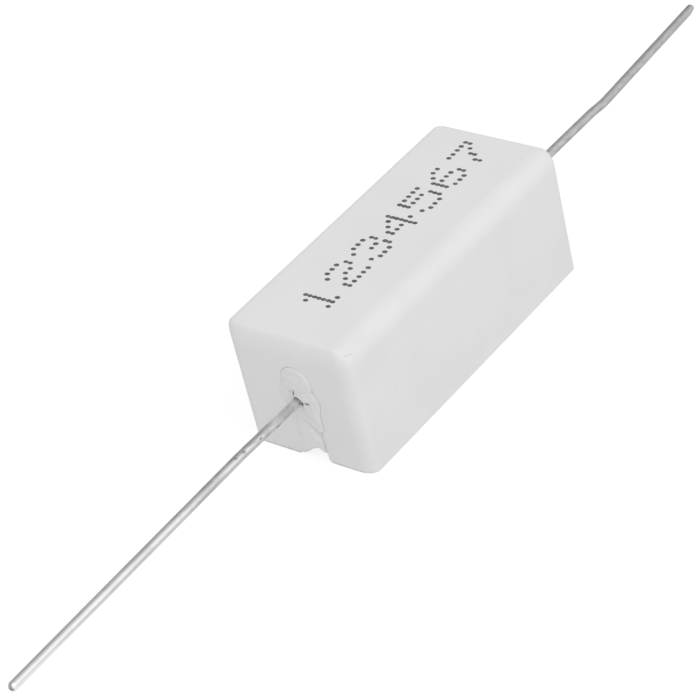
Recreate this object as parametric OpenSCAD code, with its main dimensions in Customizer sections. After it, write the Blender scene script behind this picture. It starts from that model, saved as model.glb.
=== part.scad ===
/* [Case] */
// Length of the ceramic case, along the leads
case_len = 22.5; // [20.5:0.1:26]
// Width of the ceramic case, across the leads
case_w = 9.25; // [8.4:0.05:12]
// Height of the ceramic case, from its open rim up to its marked face
case_h = 9.05; // [8.6:0.05:12]
// Thickness of the two long side walls
side_wall = 1.4; // [0.9:0.05:1.7]
// Thickness of the two end walls
end_wall = 1.3; // [0.9:0.05:1.8]
// Thickness of the roof behind the marked face
roof = 1.4; // [0.9:0.05:1.8]
// Radius of the soft edge that runs round the marked face
top_edge_r = 0.65; // [0.2:0.05:0.75]
// Radius of the four upright corners
corner_r = 0.85; // [0.75:0.05:1.6]
// Radius inside the trough, where its roof meets its side walls
trough_r = 0.7; // [0.2:0.05:1.5]

/* [End slots] */
// Distance from the marked face down to the axis of the leads
axis_drop = 4.65; // [4.3:0.05:4.9]
// Width of each end slot under its arch
slot_w = 2.3; // [1.8:0.05:3]
// Width of each end slot at the open rim
slot_foot_w = 2.05; // [1.6:0.05:2.6]
// Height of the arch's crown above the axis of the leads
slot_rise = 2.5; // [1.8:0.05:2.7]
// Sideways place of the near slot; the far slot is the near one turned half round
slot_shift = 0.15; // [-0.4:0.05:0.4]
// Radius of the flared corners where each slot meets the open rim
flare_r = 0.35; // [0.1:0.05:0.6]

/* [Cement] */
// Depth of the cement's surface inside the open rim
fill_drop = 0; // [0:0.05:0.8]
// Height of each cement plug above its end wall, level with the lead
plug_proud = 0.14; // [0.05:0.01:0.3]
// Radius of the bowed face of each plug
plug_bow_r = 40; // [25:1:80]
// Radius of the round smear of cement about each lead
smear_r = 1.5; // [1.2:0.05:2]
// Height of the smear above its end wall
smear_proud = 0.22; // [0.15:0.01:0.4]
// Height of the hollow where each plug meets the open rim
notch_h = 0.88; // [0.4:0.02:1.2]
// Radius of that hollow
notch_r = 1.05; // [0.8:0.05:1.5]
// Sideways place of that hollow from the middle of its slot
notch_shift = 0.2; // [-0.3:0.05:0.4]
// Width of the broad furrow that runs down from each lead
furrow_w = 0.7; // [0.3:0.05:1]
// Depth of the broad furrow
furrow_depth = 0.14; // [0.05:0.01:0.25]
// Length of the broad furrow
furrow_len = 1.7; // [0.5:0.1:2]
// Width of the narrow crease beside the edge of each plug
crease_w = 0.26; // [0.1:0.02:0.4]
// Depth of the narrow crease
crease_depth = 0.08; // [0.02:0.01:0.12]
// Length of the narrow crease
crease_len = 2; // [0.5:0.1:2.4]
// Clear space between the cement and every piece that it meets
cast_gap = 0.02; // [0.01:0.01:0.05]

/* [Element] */
// Diameter of the insulating core rod
core_d = 3.6; // [2.6:0.1:3.8]
// Thickness of cement between each end wall and the cap behind it
cap_cover = 1.15; // [0.8:0.05:2]
// Diameter of the resistance wire
wire_d = 0.3; // [0.2:0.02:0.34]
// Distance from one turn of the resistance wire to the next
wire_pitch = 0.5; // [0.44:0.02:1.2]
// Bare length of the core rod beyond each end of the winding
core_bare = 0.6; // [0.4:0.1:1.5]
// Clear space from the core rod to the winding, and from the winding to the caps
wind_gap = 0.03; // [0.03:0.01:0.06]

/* [End caps] */
// Sheet thickness of the pressed end caps
cap_sheet = 0.3; // [0.2:0.05:0.4]
// Depth to which each cap sits over the core rod
cap_depth = 3.4; // [2:0.1:4.5]
// Radius of the pressed outer edge of each cap
cap_edge_r = 0.35; // [0.1:0.05:0.6]

/* [Leads] */
// Diameter of the tinned copper leads
lead_d = 0.6; // [0.5:0.01:0.8]
// Diameter of the weld bead that joins each lead to its cap
weld_d = 1.3; // [1:0.05:1.8]
// Height of the weld bead
weld_h = 0.35; // [0.2:0.05:0.6]
// Length of the near lead beyond its end wall
near_reach = 26.2; // [16:0.1:38]
// Length of the far lead beyond its end wall
far_reach = 23.1; // [16:0.1:38]
// Distance from the end wall to the near lead's first bend, which lifts it
near_lift_at = 0.6; // [0.5:0.1:3]
// Turn of that bend, in degrees
near_lift = 1.1; // [0.2:0.1:3]
// Distance from there to the near lead's second bend, which lets it droop
near_bow = 4.1; // [3:0.1:8]
// Turn of that bend, in degrees
near_droop = 2; // [0.5:0.1:6]
// Distance from the end wall to the far lead's first bend, which lets it droop
far_droop_at = 0.8; // [0.5:0.1:3]
// Turn of that bend, in degrees
far_droop = 0.5; // [0.2:0.1:3]
// Distance from there to the far lead's kink
kink_at = 8.7; // [4:0.1:10]
// Turn down into the kink, in degrees
kink_down = 4.3; // [1:0.1:20]
// Length of the kink
kink_len = 0.9; // [0.5:0.1:4]
// Turn up out of the kink, in degrees
kink_up = 7.8; // [1:0.1:25]
// Bend radius at the kink
kink_r = 6; // [2:0.5:8]
// Bend radius of the gentle bends
gentle_r = 25; // [5:1:30]

/* [Hidden] */

white_ceramic = "#f4f4f1";
pale_cement = "#d9d8d3";
cream_ceramic = "#e8e0cc";
resistance_alloy = "#8d8a82";
pressed_steel = "#a9adb0";
tinned_copper = "#b8babc";

// Facets of round forms, of the case's soft corners and of the long, shallow bows
round_fn = 64;
corner_fn = 32;
bow_fn = 360;
// The winding's rings in each turn, and the sides of its wire
turn_rings = 20;
wire_sides = 6;
// Extra length by which a cutting shape runs past what it cuts
past = 1;

end_y = case_len / 2;
axis_z = case_h - axis_drop;
trough_w = case_w - 2 * side_wall;
trough_len = case_len - 2 * end_wall;
trough_top = case_h - roof;
slot_crown = axis_z + slot_rise;

// The element is worked out from the core rod outwards, and inwards from the end walls
lead_r = lead_d / 2;
wire_r = wire_d / 2;
wound_r = core_d / 2 + wind_gap + wire_d;
cap_bore_r = wound_r + wind_gap;
cap_r = cap_bore_r + cap_sheet;
cap_end = trough_len / 2 - cap_cover;
core_len = 2 * (cap_end - cap_sheet);
cap_lip = core_len / 2 - cap_depth;
winding_len = core_len - 2 * core_bare - wire_d;

// Each lead starts at its cap: [straight run, turn upwards in degrees, bend radius]
buried = end_y - cap_end;
near_runs = [
    [buried + near_lift_at, near_lift, gentle_r],
    [near_bow, -near_droop, gentle_r],
    [near_reach - near_lift_at - near_bow - bend_len(near_lift + near_droop, gentle_r), 0, gentle_r]];
far_runs = [
    [buried + far_droop_at, -far_droop, gentle_r],
    [kink_at, -kink_down, kink_r],
    [kink_len, kink_up, kink_r],
    [far_reach - far_droop_at - kink_at - kink_len
        - bend_len(far_droop, gentle_r) - bend_len(kink_down + kink_up, kink_r), 0, kink_r]];

// Length of wire that a bend takes up
function bend_len(turn, bend_r) = bend_r * turn * PI / 180;

// Radius of the ball or rod that leaves a hollow, or a mound, of this half width and depth
function ball_r(half_w, depth) = (half_w * half_w + depth * depth) / (2 * depth);

// Puts a shape drawn along +Z on the axis of the leads, with +Z towards the near end
module on_axis() {
    translate([0, 0, axis_z])
        rotate([90, 0, 0])
            children();
}

// Repeats a shape at both ends; it is drawn for the near end
module both_ends() {
    for (turn = [0, 180])
        rotate([0, 0, turn])
            children();
}

// Ceramic case: a trough, open below, with a soft-edged marked face on top

// Section of an upright corner post, round at its top
module corner_section() {
    intersection() {
        hull() {
            for (side = [-1, 1])
                translate([side * (corner_r - top_edge_r), case_h - top_edge_r])
                    circle(r = top_edge_r, $fn = corner_fn);
            square([corner_r, case_h - top_edge_r]);
        }
        square([corner_r, case_h]);
    }
}

module case_block() {
    hull()
        for (side = [-1, 1], end = [-1, 1])
            translate([side * (case_w / 2 - corner_r), end * (end_y - corner_r), 0])
                rotate_extrude($fn = corner_fn)
                    corner_section();
}

// The trough's cross-section above a foot height, smaller all round by gap
module trough_section(foot, gap) {
    half_w = trough_w / 2 - gap;
    top = trough_top - gap;
    translate([-half_w, foot])
        square([2 * half_w, top - trough_r - foot]);
    translate([trough_r - half_w, foot])
        square([2 * (half_w - trough_r), top - foot]);
    for (side = [-1, 1])
        translate([side * (half_w - trough_r), top - trough_r])
            circle(r = trough_r, $fn = round_fn);
}

module trough_form(foot, gap) {
    rotate([90, 0, 0])
        linear_extrude(trough_len - 2 * gap, center = true)
            trough_section(foot, gap);
}

// An end slot seen from outside: an arch on slightly closing sides, flared at the rim
module slot_section(foot, gap) {
    half_w = slot_w / 2 - gap;
    half_foot = slot_foot_w / 2 - gap;
    crown = slot_crown - gap;
    translate([slot_shift, 0]) {
        translate([0, crown - half_w])
            circle(r = half_w, $fn = round_fn);
        polygon([[-half_foot, foot], [half_foot, foot], [half_w, crown - half_w], [-half_w, crown - half_w]]);
        for (side = [0, 1])
            mirror([side, 0])
                translate([half_foot, 0])
                    difference() {
                        translate([-flare_r, foot])
                            square([2 * flare_r, flare_r - foot]);
                        translate([flare_r, flare_r])
                            circle(r = flare_r, $fn = round_fn);
                    }
    }
}

// The slot as a bar that runs out from inside the trough, past the end wall
module slot_form(foot, gap) {
    translate([0, end_wall - end_y + past, 0])
        rotate([90, 0, 0])
            linear_extrude(end_wall + 2 * past)
                slot_section(foot, gap);
}

module ceramic_case() {
    color(white_ceramic)
        difference() {
            case_block();
            trough_form(-past, 0);
            both_ends()
                slot_form(-past, 0);
        }
}

// Cement: it fills the trough round the element and plugs both slots

module end_plug() {
    intersection() {
        slot_form(fill_drop, cast_gap);
        translate([0, plug_bow_r - end_y - plug_proud, axis_z])
            rotate([0, 90, 0])
                cylinder(h = case_w, r = plug_bow_r, center = true, $fn = bow_fn);
    }
}

// A low round mound on the end wall, about the lead
module smear() {
    mound = smear_proud - cast_gap;
    ball = ball_r(smear_r, mound);
    translate([0, -end_y - cast_gap, axis_z])
        rotate([90, 0, 0])
            rotate_extrude($fn = round_fn)
                intersection() {
                    translate([0, mound - ball])
                        circle(r = ball, $fn = bow_fn);
                    square([smear_r, mound]);
                }
}

// The hollow at the rim runs in through the slot and ends round
module rim_hollow() {
    translate([slot_shift + notch_shift, end_wall - end_y, notch_h - notch_r]) {
        rotate([90, 0, 0])
            cylinder(h = end_wall + past, r = notch_r, $fn = round_fn);
        sphere(r = notch_r, $fn = round_fn);
    }
}

// A groove with round ends that runs down the plug's face from a start point, leaning sideways
module face_groove(start, lean, len, width, depth) {
    groove_r = ball_r(width / 2, depth);
    translate([start[0], depth - groove_r - end_y - plug_proud, start[1]])
        rotate([0, lean, 0])
            translate([0, 0, -len]) {
                cylinder(h = len, r = groove_r, $fn = round_fn);
                for (z = [0, len])
                    translate([0, 0, z])
                        sphere(r = groove_r, $fn = round_fn);
            }
}

module plug_grooves() {
    face_groove([lead_r / 2, axis_z - lead_d - furrow_w / 3], -26, furrow_len, furrow_w, furrow_depth);
    face_groove([slot_shift - slot_w / 2, axis_z - 2 * lead_d], -6, crease_len, crease_w, crease_depth);
}

// The room that the element and the buried part of each lead take up
module element_room() {
    on_axis() {
        cylinder(h = case_len + 2 * past, r = lead_r + cast_gap, center = true, $fn = round_fn);
        cylinder(h = core_len, r = wound_r + cast_gap, center = true, $fn = round_fn);
        for (turn = [0, 180])
            rotate([turn, 0, 0]) {
                translate([0, 0, cap_lip - cast_gap])
                    cylinder(h = cap_end - cap_lip + 2 * cast_gap, r = cap_r + cast_gap, $fn = round_fn);
                translate([0, 0, cap_end])
                    cylinder(h = weld_h + cast_gap, r = weld_d / 2 + cast_gap, $fn = round_fn);
            }
    }
}

module cement_fill() {
    color(pale_cement)
        difference() {
            union() {
                trough_form(fill_drop, cast_gap);
                both_ends() {
                    end_plug();
                    smear();
                }
            }
            element_room();
            both_ends() {
                rim_hollow();
                plug_grooves();
            }
        }
}

// Element: a rod wound with resistance wire, with a pressed cap on each end

module core_rod() {
    color(cream_ceramic)
        on_axis()
            cylinder(h = core_len, r = core_d / 2, center = true, $fn = round_fn);
}

// One point on the wire's skin: its ring along the wire and its side round the wire
function wire_point(ring, side) =
    let (turn = 360 * ring / turn_rings,
         around = 360 * side / wire_sides,
         r = core_d / 2 + wind_gap + wire_r + wire_r * cos(around))
    [r * cos(turn), r * sin(turn), wire_pitch * ring / turn_rings + wire_r * sin(around)];

module resistance_winding() {
    rings = floor(winding_len / wire_pitch * turn_rings);
    skin = [for (ring = [0:rings], side = [0:wire_sides - 1]) wire_point(ring, side)];
    quads = [for (ring = [0:rings - 1], side = [0:wire_sides - 1])
        let (a = ring * wire_sides + side, b = ring * wire_sides + (side + 1) % wire_sides)
        [a, b, b + wire_sides, a + wire_sides]];
    faces = [for (q = quads) each [[q[0], q[2], q[1]], [q[0], q[3], q[2]]]];
    first_end = [for (side = [0:wire_sides - 1]) side];
    last_end = [for (side = [wire_sides - 1:-1:0]) rings * wire_sides + side];
    color(resistance_alloy)
        on_axis()
            translate([0, 0, -wire_pitch * rings / turn_rings / 2])
                polyhedron(points = skin, faces = concat(faces, [first_end], [last_end]));
}

// Section of a pressed cap: a cup with a rounded outer edge, drawn from the axis outwards
module cap_section() {
    difference() {
        union() {
            translate([0, cap_lip])
                square([cap_r - cap_edge_r, cap_end - cap_lip]);
            translate([0, cap_lip])
                square([cap_r, cap_end - cap_edge_r - cap_lip]);
            translate([cap_r - cap_edge_r, cap_end - cap_edge_r])
                circle(r = cap_edge_r, $fn = round_fn);
        }
        translate([0, cap_lip - past])
            square([cap_bore_r, core_len / 2 - cap_lip + past]);
    }
}

module end_cap(turn) {
    color(pressed_steel)
        rotate([0, 0, turn])
            on_axis()
                rotate_extrude($fn = round_fn)
                    cap_section();
}

// Leads: round wire, welded to the caps and bent as found

// A bend of the wire that starts at the origin along +Y and turns upwards
module wire_bend(turn, bend_r) {
    mirror([0, 0, turn < 0 ? 1 : 0])
        translate([0, 0, bend_r])
            rotate([0, 90, 0])
                rotate_extrude(angle = abs(turn), $fn = bow_fn)
                    translate([bend_r, 0])
                        circle(r = lead_r, $fn = round_fn);
}

// A straight run of wire along +Y with a rounded tip
module wire_tip(len) {
    rotate([-90, 0, 0])
        rotate_extrude($fn = round_fn)
            intersection() {
                union() {
                    square([lead_r, len - lead_r]);
                    translate([0, len - lead_r])
                        circle(r = lead_r, $fn = round_fn);
                }
                square([lead_r, len]);
            }
}

// The runs of a lead from number i on: each straight, then its bend, then the rest
module wire_runs(runs, i = 0) {
    len = runs[i][0];
    turn = runs[i][1];
    bend_r = runs[i][2];
    if (i == len(runs) - 1) {
        wire_tip(len);
    } else {
        rotate([-90, 0, 0])
            cylinder(h = len, r = lead_r, $fn = round_fn);
        translate([0, len, 0]) {
            wire_bend(turn, bend_r);
            translate([0, bend_r * sin(abs(turn)), sign(turn) * bend_r * (1 - cos(turn))])
                rotate([turn, 0, 0])
                    wire_runs(runs, i + 1);
        }
    }
}

// A lead with its weld bead, drawn along +Y from its cap
module lead(runs) {
    color(tinned_copper)
        translate([0, cap_end, axis_z]) {
            rotate([-90, 0, 0])
                cylinder(h = weld_h, r1 = weld_d / 2, r2 = lead_r, $fn = round_fn);
            wire_runs(runs);
        }
}

module end_cap_near() {
    end_cap(0);
}

module end_cap_far() {
    end_cap(180);
}

module lead_near() {
    rotate([0, 0, 180])
        lead(near_runs);
}

module lead_far() {
    lead(far_runs);
}

ceramic_case();
cement_fill();
core_rod();
resistance_winding();
end_cap_near();
end_cap_far();
lead_near();
lead_far();
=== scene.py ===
# %% [markdown]
# An axial power resistor, dressed for its portrait.
# The solid model holds the sizes, and this lesson gives each piece the surface that a real one has:
# a fired ceramic trough, cast cement, tinned wires and a line of ink dots.
# We load the solid model first, because everything that follows is measured from it.

# %% The frame
import math

import bmesh
import bpy
from mathutils import Matrix, Vector, noise


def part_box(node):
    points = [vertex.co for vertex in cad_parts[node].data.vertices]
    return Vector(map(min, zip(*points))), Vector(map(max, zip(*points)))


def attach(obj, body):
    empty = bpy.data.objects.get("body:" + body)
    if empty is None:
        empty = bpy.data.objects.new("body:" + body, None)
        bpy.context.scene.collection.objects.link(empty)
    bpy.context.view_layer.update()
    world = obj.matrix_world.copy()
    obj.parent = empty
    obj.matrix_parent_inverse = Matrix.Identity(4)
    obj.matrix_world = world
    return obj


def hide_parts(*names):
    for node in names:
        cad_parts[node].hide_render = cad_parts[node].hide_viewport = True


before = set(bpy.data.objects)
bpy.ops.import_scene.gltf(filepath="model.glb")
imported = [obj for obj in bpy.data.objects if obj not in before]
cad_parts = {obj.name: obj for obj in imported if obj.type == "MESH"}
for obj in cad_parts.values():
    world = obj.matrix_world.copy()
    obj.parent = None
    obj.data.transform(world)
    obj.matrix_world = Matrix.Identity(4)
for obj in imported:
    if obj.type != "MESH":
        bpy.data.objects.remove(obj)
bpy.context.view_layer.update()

print("nodes:", ", ".join(sorted(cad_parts)))

# %% [markdown]
# The pieces are only millimetres across, so we model them in millimetres and shrink each finished mesh
# to the scene's metres at the end. The solver that cuts one mesh with another also likes numbers near 1.

# %% Working in millimetres
MM = 0.001


def corners(node):
    """The lowest and the highest corner of a node of the solid model, in millimetres."""
    low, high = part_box(node)
    return low / MM, high / MM


case_high = corners("ceramic_case")[1]
core_low, core_high = corners("core_rod")
half_w = case_high.x
half_l = case_high.y
case_h = case_high.z
axis_z = (core_low.z + core_high.z) / 2
print(f"case {2 * half_w:.2f} x {2 * half_l:.2f} x {case_h:.2f} mm, leads {axis_z:.2f} mm above its rim")

# %% [markdown]
# The camera comes next, so that every later test render shows the photographed view.
# It stands above the near right corner of the resistor, far off with a long lens, as a product
# photographer works, and it is rolled so that the leads run from corner to corner of the picture.

# %% Camera
LOOK_AT = Vector((-1.966, -4.064, 2.372))
CAMERA_DISTANCE = 168.0
CAMERA_ELEVATION = math.radians(35.96)
CAMERA_AZIMUTH = math.radians(-44.91)
CAMERA_ROLL = math.radians(-14.25)
CAMERA_LENS = 140.16

towards_camera = Vector((
    math.cos(CAMERA_ELEVATION) * math.cos(CAMERA_AZIMUTH),
    math.cos(CAMERA_ELEVATION) * math.sin(CAMERA_AZIMUTH),
    math.sin(CAMERA_ELEVATION),
))
camera_data = bpy.data.cameras.new("portrait_camera")
camera_data.lens = CAMERA_LENS
camera_data.sensor_width = 36
camera_data.clip_start = 0.01
camera = bpy.data.objects.new("portrait_camera", camera_data)
bpy.context.scene.collection.objects.link(camera)
stand = Matrix.Translation((LOOK_AT + towards_camera * CAMERA_DISTANCE) * MM)
aim = towards_camera.to_track_quat("Z", "Y").to_matrix().to_4x4()
camera.matrix_world = stand @ aim @ Matrix.Rotation(CAMERA_ROLL, 4, "Z")
bpy.context.scene.camera = camera
print("camera at", [round(value, 4) for value in camera.matrix_world.translation])

# %% [markdown]
# A few small helpers carry the whole workshop. One turns a finished bmesh into an object, one settles
# an object's modifiers into its mesh, one cuts or joins two closed meshes, and one skins rings of points.
# The exact solver is slower than the fast one, but it keeps the result closed. The others give the
# angles of a curve, the border of a grid and two soft steps that shape most of the surfaces below.

# %% Workshop helpers
def new_piece(name, form):
    """An object called name from a bmesh, which is used up."""
    bmesh.ops.recalc_face_normals(form, faces=form.faces)
    mesh = bpy.data.meshes.new(name)
    form.to_mesh(mesh)
    form.free()
    piece = bpy.data.objects.new(name, mesh)
    bpy.context.scene.collection.objects.link(piece)
    return piece


def settle(piece):
    """Puts the result of the piece's modifiers into its own mesh."""
    graph = bpy.context.evaluated_depsgraph_get()
    finished = bpy.data.meshes.new_from_object(piece.evaluated_get(graph))
    piece.modifiers.clear()
    piece.data = finished


def combine(piece, tool, operation):
    """Cuts or joins piece with the closed mesh tool, which is used up."""
    step = piece.modifiers.new("combine", "BOOLEAN")
    step.operation = operation
    step.solver = "EXACT"
    step.object = tool
    settle(piece)
    bpy.data.objects.remove(tool)


def smooth(t):
    """Eases from 0 to 1."""
    t = min(max(t, 0), 1)
    return t * t * (3 - 2 * t)


def hump(away, width):
    """1 where away is 0, fading to 0 over a width on both sides."""
    return math.exp(-(away / width) ** 2)


def quarter(steps):
    """Angles from 0 to a quarter turn."""
    return [math.pi / 2 * k / steps for k in range(steps + 1)]


def circle(sides):
    """Angles all the way round."""
    return [2 * math.pi * k / sides for k in range(sides)]


def border(last_column, last_row):
    """The places on the border of a grid, in order all the way round."""
    out = [(k, 0) for k in range(last_column)] + [(last_column, m) for m in range(last_row)]
    back = [(k, last_row) for k in range(last_column, 0, -1)] + [(0, m) for m in range(last_row, 0, -1)]
    return out + back


def bridge(form, lower, upper):
    """Joins two closed rings of vertices with a band of faces."""
    for four in zip(lower, lower[1:] + lower[:1], upper[1:] + upper[:1], upper):
        form.faces.new(four)


def loft(form, rings):
    """Skins a list of rings of points, in order, and closes both ends."""
    rows = [[form.verts.new(point) for point in ring] for ring in rings]
    for lower, upper in zip(rows, rows[1:]):
        bridge(form, lower, upper)
    form.faces.new(rows[0])
    form.faces.new(rows[-1])


# %% [markdown]
# The case is one block of white electrical ceramic, pressed in a die and fired. Its corners are soft,
# and the top edges that face us are twice as soft as the others, where the die had worn.
# Bevelling a cube gives every edge the same radius. So we walk round the plan of the block instead,
# and stack rings of points whose inset and height may differ with the direction that they face.

# %% A block with soft edges
TURN_STEPS = 6


def stations(half, corner_low, corner_high, step):
    """Grid lines from -half to half, drawn together where a corner turns."""
    low = corner_low - half
    high = half - corner_high
    turn = [math.tan(math.pi / 4 * k / TURN_STEPS) for k in range(1, TURN_STEPS + 1)]
    count = max(1, round((high - low) / step))
    middle = [low + (high - low) * k / count for k in range(count + 1)]
    return [low - corner_low * t for t in reversed(turn)] + middle + [high + corner_high * t for t in turn]


def soft_block(name, half_x, half_y, radii, levels, step):
    """A closed block. radii are its plan radii to the left, to the right and at its ends.
    Each level gives a ring's inset and height for the direction that a point faces."""
    left, right, ends = radii
    xs = stations(half_x, left, right, step)
    ys = stations(half_y, ends, ends, step)
    rim = border(len(xs) - 1, len(ys) - 1)

    def shrunk(radius, inset, softness=0.09):
        """A corner's radius after the inset. It never quite reaches 0."""
        left_over = radius - inset
        return 0.5 * (left_over + math.sqrt(left_over ** 2 + softness))

    def rim_point(place, level):
        x = xs[place[0]]
        y = ys[place[1]]
        core = Vector((min(max(x, left - half_x), half_x - right), min(max(y, ends - half_y), half_y - ends)))
        facing = Vector(((x - core.x) / (right if x > 0 else left), (y - core.y) / ends)).normalized()
        insets = [level(Vector(side))[0] for side in ((-1, 0), (1, 0), (0, -1), (0, 1))]
        kept = [shrunk(radius, inset) for radius, inset in zip((left, right, ends, ends), insets)]
        low = Vector((insets[0] + kept[0] - half_x, insets[2] + kept[2] - half_y))
        high = Vector((half_x - insets[1] - kept[1], half_y - insets[3] - kept[3]))
        across = (core.x + half_x - left) / (2 * half_x - left - right)
        along = (core.y + half_y - ends) / (2 * half_y - 2 * ends)
        kept_x = kept[1] if facing.x > 0 else kept[0]
        kept_y = kept[3] if facing.y > 0 else kept[2]
        return Vector((low.x + (high.x - low.x) * across + kept_x * facing.x,
                       low.y + (high.y - low.y) * along + kept_y * facing.y, level(facing)[1]))

    form = bmesh.new()
    rings = [{place: form.verts.new(rim_point(place, level)) for place in rim} for level in levels]
    for lower, upper in zip(rings, rings[1:]):
        bridge(form, list(lower.values()), list(upper.values()))
    for ring in (rings[0], rings[-1]):
        fill_ring(form, ring, xs, ys)
    return new_piece(name, form)


def fill_ring(form, ring, xs, ys):
    """Closes a ring with a grid whose lines bend with the ring's four sides."""
    last_x = len(xs) - 1
    last_y = len(ys) - 1
    grid = dict(ring)
    for i in range(1, last_x):
        u = (xs[i] - xs[0]) / (xs[-1] - xs[0])
        for j in range(1, last_y):
            v = (ys[j] - ys[0]) / (ys[-1] - ys[0])
            across = (1 - u) * ring[0, j].co + u * ring[last_x, j].co
            along = (1 - v) * ring[i, 0].co + v * ring[i, last_y].co
            near = (1 - u) * ring[0, 0].co + u * ring[last_x, 0].co
            far = (1 - u) * ring[0, last_y].co + u * ring[last_x, last_y].co
            grid[i, j] = form.verts.new(across + along - (1 - v) * near - v * far)
    for i in range(last_x):
        for j in range(last_y):
            form.faces.new((grid[i, j], grid[i + 1, j], grid[i + 1, j + 1], grid[i, j + 1]))


# %% [markdown]
# Now the outer form of the case. The top edge is a quarter ellipse in every direction, and its two
# half axes change with the direction that the edge faces. A slow wander of a hundredth of a millimetre
# keeps the big faces from being the perfect planes that no fired piece has.

# %% Outer form of the case
WORN_IN = 1.3
WORN_DOWN = 1.25
NEAR_IN = 0.38
NEAR_DOWN = 1.5
EDGE_R = 0.55
LEFT_CORNER_R = 0.77
RIGHT_CORNER_R = 1.08
END_CORNER_R = 0.61
FOOT_R = 0.05
WAVE_SIZE = 5.0
WAVE_DEPTH = 0.008
STILL_FOOT = 1.5
WALL_ROWS = 30
TOP_ROWS = 10


def plain_level(inset, height):
    """A level whose ring has the same inset and height all round."""
    return lambda facing: (inset, height)


def worn_share(facing):
    """1 for an edge that faces the worn +X side, 0 for the others."""
    return max(0.0, facing.x) ** 2


def top_level(turn):
    """A level of the soft top edge, from 0 on the side face to a quarter turn on the marked face."""
    def level(facing):
        worn = worn_share(facing)
        near = max(0.0, -facing.y) ** 2
        edge_in = EDGE_R + (WORN_IN - EDGE_R) * worn + (NEAR_IN - EDGE_R) * near
        edge_down = EDGE_R + (WORN_DOWN - EDGE_R) * worn + (NEAR_DOWN - EDGE_R) * near
        return edge_in * (1 - math.cos(turn)), case_h - edge_down * (1 - math.sin(turn))
    return level


def foot_levels(inset, rise, steps):
    """The levels of a small rounding at the bottom of a block."""
    return [plain_level(inset * (1 - math.sin(a)), rise * (1 - math.cos(a))) for a in quarter(steps)]


def wander(point):
    """How far the fired ceramic strays from true at a point, always inwards, and not at its foot."""
    return WAVE_DEPTH * (noise.noise(point / WAVE_SIZE) - 1.0) * smooth(point.z / STILL_FOOT)


wall_low = 2 * FOOT_R
wall_high = case_h - NEAR_DOWN - 0.1
walls = [plain_level(0, wall_low + (wall_high - wall_low) * k / WALL_ROWS) for k in range(WALL_ROWS + 1)]
tops = [top_level(turn) for turn in quarter(TOP_ROWS)]
case = soft_block("white_ceramic_case", half_w, half_l, (LEFT_CORNER_R, RIGHT_CORNER_R, END_CORNER_R),
                  foot_levels(FOOT_R, FOOT_R, 3) + walls + tops, 0.3)
for vertex in case.data.vertices:
    vertex.co += vertex.normal * wander(vertex.co)
print("outer form of the case:", len(case.data.polygons), "faces")

# %% [markdown]
# The trough is the hollow that the cement fills. It is another soft block, turned mouth down, with its
# mouth flared by a tenth of a millimetre so that the rim has no knife edge. We subtract it.

# %% Trough
SIDE_WALL = 1.4
END_WALL = 1.3
ROOF = 1.4
TROUGH_R = 0.7
MOUTH_R = 0.12
CAST_GAP = 0.02
RINGED_WALL = 6
WALL_RINGS = 12


def trough_levels(gap, low_levels):
    """The levels of the trough's walls and roof above the given lowest ones."""
    top = case_h - ROOF - gap
    foot = top - TROUGH_R - RINGED_WALL
    walls = [plain_level(0, foot + RINGED_WALL * k / WALL_RINGS) for k in range(WALL_RINGS)]
    turns = quarter(5)
    roof = [plain_level(TROUGH_R * (1 - math.cos(a)), top - TROUGH_R * (1 - math.sin(a))) for a in turns]
    return low_levels + walls + roof


mouth = [plain_level(-MOUTH_R, -1)] + foot_levels(-MOUTH_R, MOUTH_R, 4)
trough = soft_block("trough", half_w - SIDE_WALL, half_l - END_WALL, (TROUGH_R, TROUGH_R, TROUGH_R),
                    trough_levels(0, mouth), 0.5)
combine(case, trough, "DIFFERENCE")
print("case with its trough:", len(case.data.polygons), "faces")

# %% [markdown]
# Each end wall has a slot through which the lead was laid in from below. It narrows a little downwards,
# has a round arch on top, and flares where it meets the rim. The outline is written once, as a function
# that can also grow it, because the mouth of the slot is rounded and the cement has to fit inside it.
# The far slot is the near one turned half round.

# %% End slots
SLOT_MID = 0.15
SLOT_HALF = 1.15
LEFT_FOOT_HALF = 0.94
RIGHT_FOOT_HALF = 1.08
ARCH_Z = axis_z + 2.5 - SLOT_HALF
FLARE_R = 0.35
SLOT_EDGE_R = 0.07
BELOW_RIM = -1.0
BEYOND_WALL = 0.6
NEAR = -1
FAR = 1


def leg(z, foot_half):
    """How far a leg of the slot stands from the slot's middle at a height."""
    share = min(max(z / ARCH_Z, 0), 1)
    return foot_half + (SLOT_HALF - foot_half) * share ** 2


def flare(z):
    """How much wider the slot gets as it nears the rim."""
    below = min(max(FLARE_R - z, 0), FLARE_R)
    return FLARE_R - math.sqrt(FLARE_R ** 2 - below ** 2)


def slot_outline(grow):
    """The slot's outline seen from its own end, up one leg, over the arch and down the other."""
    heights = [BELOW_RIM] + [FLARE_R * k / 8 for k in range(8)]
    heights += [FLARE_R + (ARCH_Z - FLARE_R) * k / 20 for k in range(20)]
    left_leg = [(SLOT_MID - leg(z, LEFT_FOOT_HALF) - flare(z) - grow, z) for z in heights]
    right_leg = [(SLOT_MID + leg(z, RIGHT_FOOT_HALF) + flare(z) + grow, z) for z in reversed(heights)]
    arch_r = SLOT_HALF + grow
    turns = [math.pi * (1 - k / 36) for k in range(37)]
    arch = [(SLOT_MID + arch_r * math.cos(a), ARCH_Z + arch_r * math.sin(a)) for a in turns]
    return left_leg + arch + right_leg


def at_end(end, x, z, out):
    """A point that lies out of the end wall by out, seen from that end."""
    return Vector((-end * x, end * (half_l + out), z))


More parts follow.
